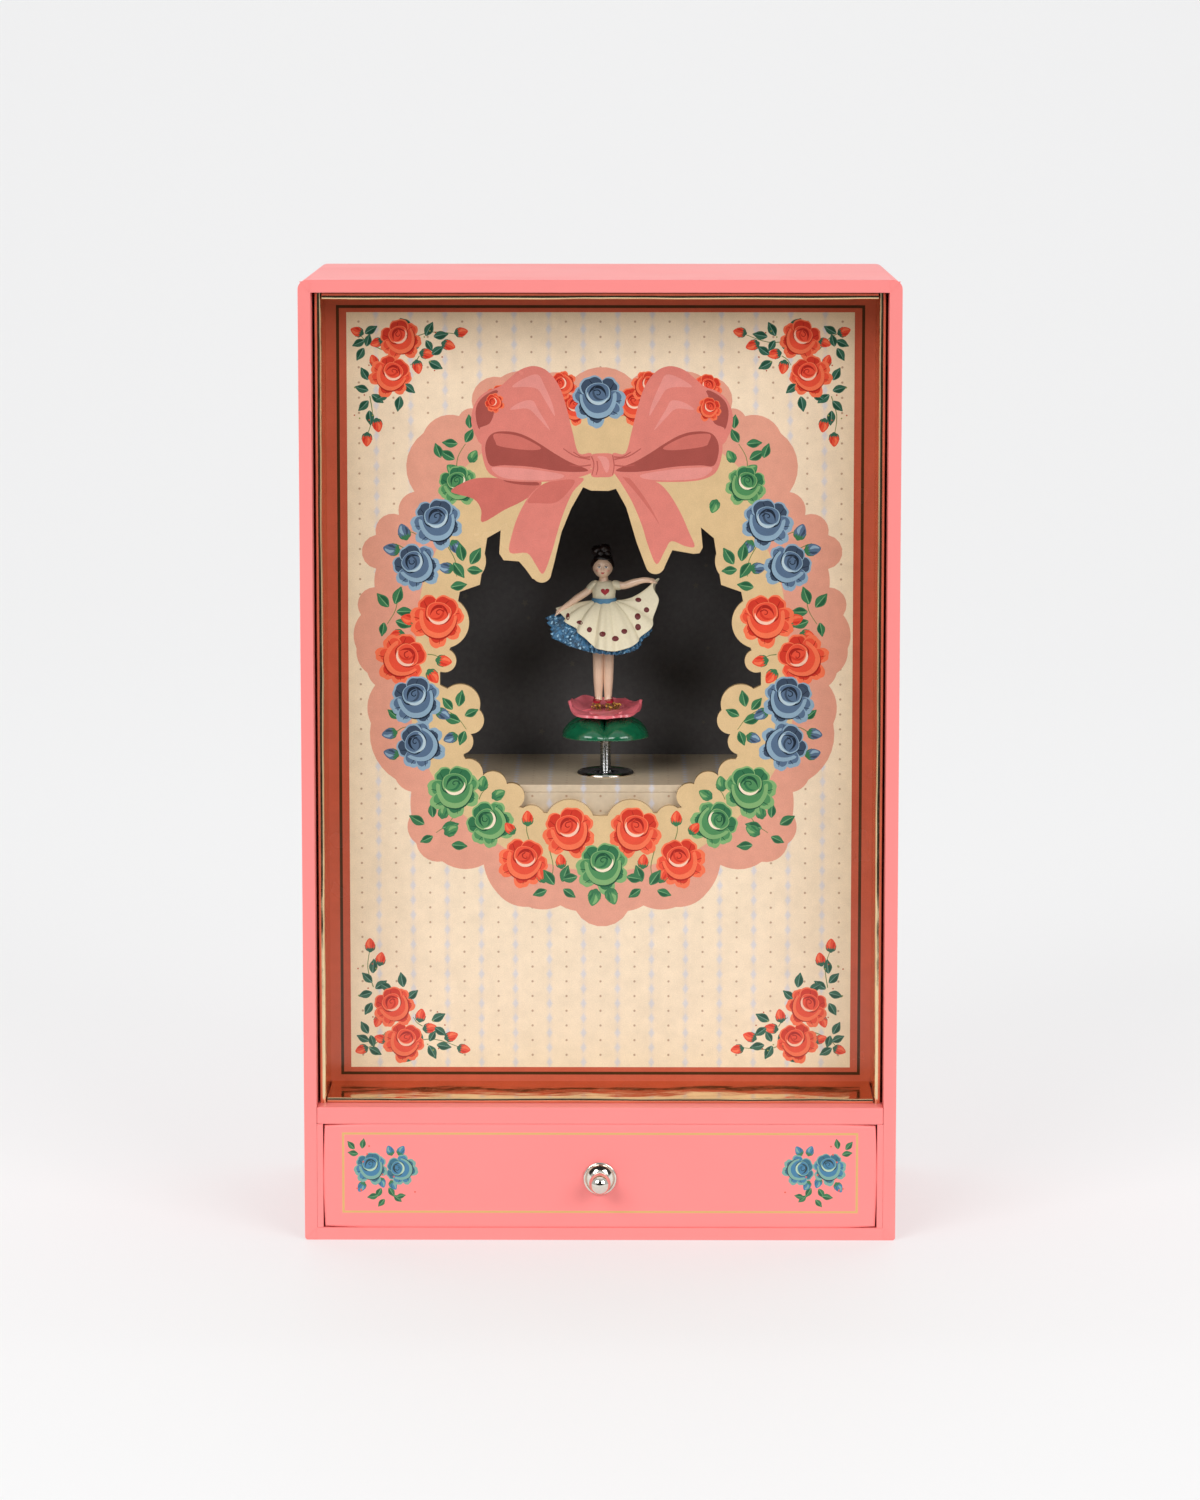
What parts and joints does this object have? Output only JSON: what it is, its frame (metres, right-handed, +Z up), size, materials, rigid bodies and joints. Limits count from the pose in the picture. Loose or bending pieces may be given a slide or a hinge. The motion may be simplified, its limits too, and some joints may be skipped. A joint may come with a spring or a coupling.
{
  "type": "musical jewellery box",
  "caption": "Tall board jewellery box with a foil-lined recess, a die-cut scene, a turning dancer figure on a wind-up movement and a knobbed drawer below.",
  "frame": {"origin": "centre of the underside, midway between the front and back edges of the case", "axes": "+X to the right seen from the front, +Y from the front to the back, +Z up"},
  "size_m": [0.19, 0.1288, 0.309],
  "materials": {
    "wrapped_board": "pink satin paper wrapped over greyboard",
    "gold_foil_board": "wrinkled mirror-gold foil over board",
    "printed_board": "glossy laminated print on board",
    "lining_board": "dark starry paper on board",
    "chromed_metal": "polished",
    "steel": "machined",
    "brass": "satin",
    "black_plastic": "matte",
    "white_plastic": "semi-gloss",
    "flocked_card": "short flock",
    "green_plastic": "gloss",
    "pink_plastic": "gloss",
    "figure_plastic": "painted matte",
    "dress_fabric": "soft woven cloth with small dots",
    "petticoat_tulle": "glittery net",
    "hair_plastic": "semi-gloss"
  },
  "bodies": {
    "case": {"case_shell": "wrapped_board", "drawer_shelf": "wrapped_board", "back_panel": "wrapped_board", "drawer_guide_left": "wrapped_board", "drawer_guide_right": "wrapped_board", "foil_left": "gold_foil_board", "foil_right": "gold_foil_board", "foil_top": "gold_foil_board", "foil_floor": "gold_foil_board", "scene_panel": "printed_board", "stage_fascia": "printed_board", "stage_deck": "printed_board", "deck_support_left": "printed_board", "deck_support_right": "printed_board", "lining_back": "lining_board", "lining_left": "lining_board", "lining_right": "lining_board", "lining_top": "lining_board", "spindle_escutcheon": "chromed_metal", "spindle_bush": "black_plastic", "key_grommet": "chromed_metal", "bedplate": "steel", "standoff_posts": "brass", "mounting_screws": "steel", "front_bridge": "brass", "governor_frame": "steel", "comb_base": "steel", "comb": "steel", "movement_screws": "steel"},
    "drawer": {"drawer_front": "wrapped_board", "drawer_left": "wrapped_board", "drawer_right": "wrapped_board", "drawer_back": "wrapped_board", "drawer_floor": "wrapped_board", "drawer_liner": "flocked_card", "knob": "chromed_metal", "knob_screw": "steel"},
    "barrel": {"spring_barrel": "brass", "crown_gear": "brass", "mainspring": "steel"},
    "key": {"winding_arbor": "steel", "winding_key": "chromed_metal"},
    "cylinder": {"pin_cylinder": "brass", "cylinder_arbor": "steel", "cylinder_gear": "brass"},
    "governor": {"governor_arbor": "steel", "worm_wheel": "brass"},
    "air_brake": {"fan_worm": "steel", "fan": "white_plastic"},
    "spindle": {"spindle_shaft": "steel", "spindle_pinion": "white_plastic", "coil_spring": "steel"},
    "figure": {"spring_cap": "chromed_metal", "leaf_base": "green_plastic", "flower": "pink_plastic", "figure_body": "figure_plastic", "figure_dress": "dress_fabric", "figure_petticoat": "petticoat_tulle", "figure_hair": "hair_plastic"}
  },
  "joints": [
    {"name": "drawer_slide", "type": "slide", "parent": "case", "child": "drawer", "axis": [0, -1, 0], "range_m": [0, 0.075]},
    {"name": "cylinder_turn", "type": "hinge", "parent": "case", "child": "cylinder", "pos_m": [-0.025, 0.005, 0.09], "axis": [1, 0, 0], "continuous": true},
    {"name": "barrel_turn", "type": "hinge", "parent": "case", "child": "barrel", "pos_m": [0.0015, 0.018, 0.09], "axis": [0, 1, 0], "continuous": true},
    {"name": "spindle_turn", "type": "hinge", "parent": "case", "child": "spindle", "pos_m": [0.0015, 0.005, 0.13], "axis": [0, 0, 1], "continuous": true},
    {"name": "governor_turn", "type": "hinge", "parent": "case", "child": "governor", "pos_m": [-0.046, 0.005, 0.1009], "axis": [1, 0, 0], "continuous": true},
    {"name": "air_brake_turn", "type": "hinge", "parent": "case", "child": "air_brake", "pos_m": [-0.0472, 0.015, 0.10725], "axis": [0, 1, 0], "continuous": true},
    {"name": "key_turn", "type": "hinge", "parent": "case", "child": "key", "pos_m": [0.0015, 0.04, 0.09], "axis": [0, 1, 0], "continuous": true},
    {"name": "figure_sway", "type": "hinge", "parent": "spindle", "child": "figure", "pos_m": [0.0015, 0.005, 0.1486], "axis": [1, 0, 0], "range_deg": [-10, 10], "stiffness_Nm_per_rad": 0.05, "deforming": ["coil_spring"]}
  ],
  "couplings": [
    {"joint": "barrel_turn", "follows": "cylinder_turn", "ratio": 0.3125},
    {"joint": "spindle_turn", "follows": "cylinder_turn", "ratio": -1},
    {"joint": "governor_turn", "follows": "cylinder_turn", "ratio": -2},
    {"joint": "air_brake_turn", "follows": "cylinder_turn", "ratio": -32}
  ]
}
